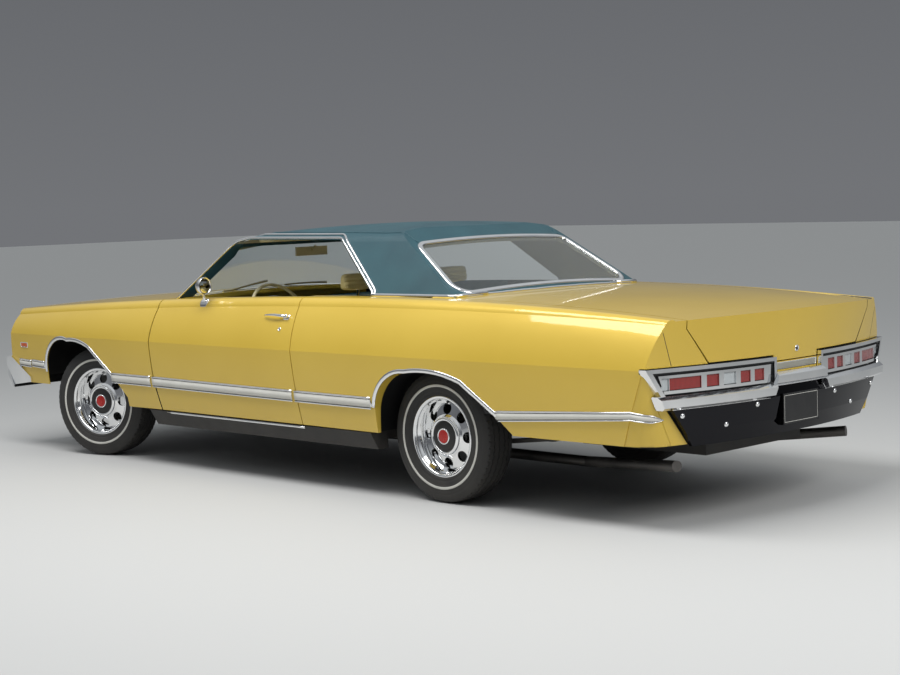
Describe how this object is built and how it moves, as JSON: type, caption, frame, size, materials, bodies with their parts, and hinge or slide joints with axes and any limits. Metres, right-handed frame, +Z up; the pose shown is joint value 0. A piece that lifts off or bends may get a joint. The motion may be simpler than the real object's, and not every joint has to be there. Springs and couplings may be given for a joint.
{
  "type": "hardtop coupe car",
  "caption": "Full-size pillarless hardtop coupe with vinyl roof, opening doors, bonnet and boot, and steerable road wheels.",
  "frame": {"origin": "on the ground, midway along the car's length and on its centre line", "axes": "+X towards the tail, +Y to the car's right, +Z up"},
  "size_m": [5.645, 2.012, 1.432],
  "materials": {
    "chrome": "bright plated",
    "dark": "matt black",
    "glass": "clear",
    "iron": "dark cast metal",
    "mirror": "bright plated with mirror glass",
    "paint": "gloss yellow gold",
    "red_lens": "clear red and white lenses",
    "seat": "cream-gold vinyl",
    "steel": "bare steel",
    "trim": "black grained trim",
    "tyre": "rubber with a thin white stripe",
    "underside": "satin black",
    "vinyl": "grained dark blue-green vinyl"
  },
  "bodies": {
    "body": {"fender_left": "paint", "fender_right": "paint", "quarter_left": "paint", "quarter_right": "paint", "rear_deck": "paint", "tail_panel": "paint", "cowl": "paint", "windshield_pillars": "paint", "underbody": "underside", "roof_panel": "vinyl", "sail_panels": "vinyl", "window_glass": "glass", "lamp_frames": "chrome", "tail_lamps": "red_lens", "rear_bumper": "chrome", "front_bumper": "chrome", "grille": "chrome", "head_lamps": "glass", "front_frame": "underside", "front_arms": "iron", "rear_axle": "iron", "engine": "iron", "driveline": "steel", "exhaust": "steel", "fuel_tank": "steel", "front_seat": "seat", "rear_seat": "seat", "dashboard": "trim", "cabin_mirror": "mirror"},
    "bonnet": {"bonnet": "paint"},
    "boot_lid": {"boot_lid": "paint"},
    "door_left": {"door_left": "paint", "door_mirror": "mirror"},
    "door_right": {"door_right": "paint"},
    "knuckle_left": {"knuckle_left": "iron"},
    "knuckle_right": {"knuckle_right": "iron"},
    "steering_wheel": {"steering_wheel": "dark"},
    "wheel_front_left": {"wheel_front_left": "chrome", "tyre_front_left": "tyre"},
    "wheel_front_right": {"wheel_front_right": "chrome", "tyre_front_right": "tyre"},
    "wheel_rear_left": {"wheel_rear_left": "chrome", "tyre_rear_left": "tyre"},
    "wheel_rear_right": {"wheel_rear_right": "chrome", "tyre_rear_right": "tyre"}
  },
  "joints": [
    {"name": "bonnet_hinge", "type": "hinge", "parent": "body", "child": "bonnet", "pos_m": [-1.2835, 0, 1.032], "axis": [0, 1, 0], "range_deg": [0, 55]},
    {"name": "boot_hinge", "type": "hinge", "parent": "body", "child": "boot_lid", "pos_m": [1.2915, 0, 1.07], "axis": [0, -1, 0], "range_deg": [0, 65]},
    {"name": "door_left_hinge", "type": "hinge", "parent": "body", "child": "door_left", "pos_m": [-1.0575, -0.958, 0.645], "axis": [0, 0, -1], "range_deg": [0, 65]},
    {"name": "door_right_hinge", "type": "hinge", "parent": "body", "child": "door_right", "pos_m": [-1.0575, 0.958, 0.645], "axis": [0, 0, 1], "range_deg": [0, 65]},
    {"name": "steer_left", "type": "hinge", "parent": "body", "child": "knuckle_left", "pos_m": [-1.9025, -0.7125, 0.345], "axis": [0, 0, 1], "range_deg": [-51, 19]},
    {"name": "steer_right", "type": "hinge", "parent": "body", "child": "knuckle_right", "pos_m": [-1.9025, 0.7125, 0.345], "axis": [0, 0, 1], "range_deg": [-51, 19]},
    {"name": "steering_wheel_turn", "type": "hinge", "parent": "body", "child": "steering_wheel", "pos_m": [-0.6325, -0.38, 0.9], "axis": [0.8829, 0, 0.4695], "range_deg": [-800.7, 298.3]},
    {"name": "spin_front_left", "type": "hinge", "parent": "knuckle_left", "child": "wheel_front_left", "pos_m": [-1.88155, -0.78556, 0.345], "axis": [-0.2756, 0.9613, 0], "continuous": true},
    {"name": "spin_front_right", "type": "hinge", "parent": "knuckle_right", "child": "wheel_front_right", "pos_m": [-1.92345, 0.78556, 0.345], "axis": [-0.2756, 0.9613, 0], "continuous": true},
    {"name": "spin_rear_left", "type": "hinge", "parent": "body", "child": "wheel_rear_left", "pos_m": [1.1965, -0.771, 0.345], "axis": [0, 1, 0], "continuous": true},
    {"name": "spin_rear_right", "type": "hinge", "parent": "body", "child": "wheel_rear_right", "pos_m": [1.1965, 0.771, 0.345], "axis": [0, 1, 0], "continuous": true}
  ],
  "couplings": [
    {"joint": "steer_right", "follows": "steer_left", "ratio": 1},
    {"joint": "steering_wheel_turn", "follows": "steer_left", "ratio": 15.7}
  ]
}
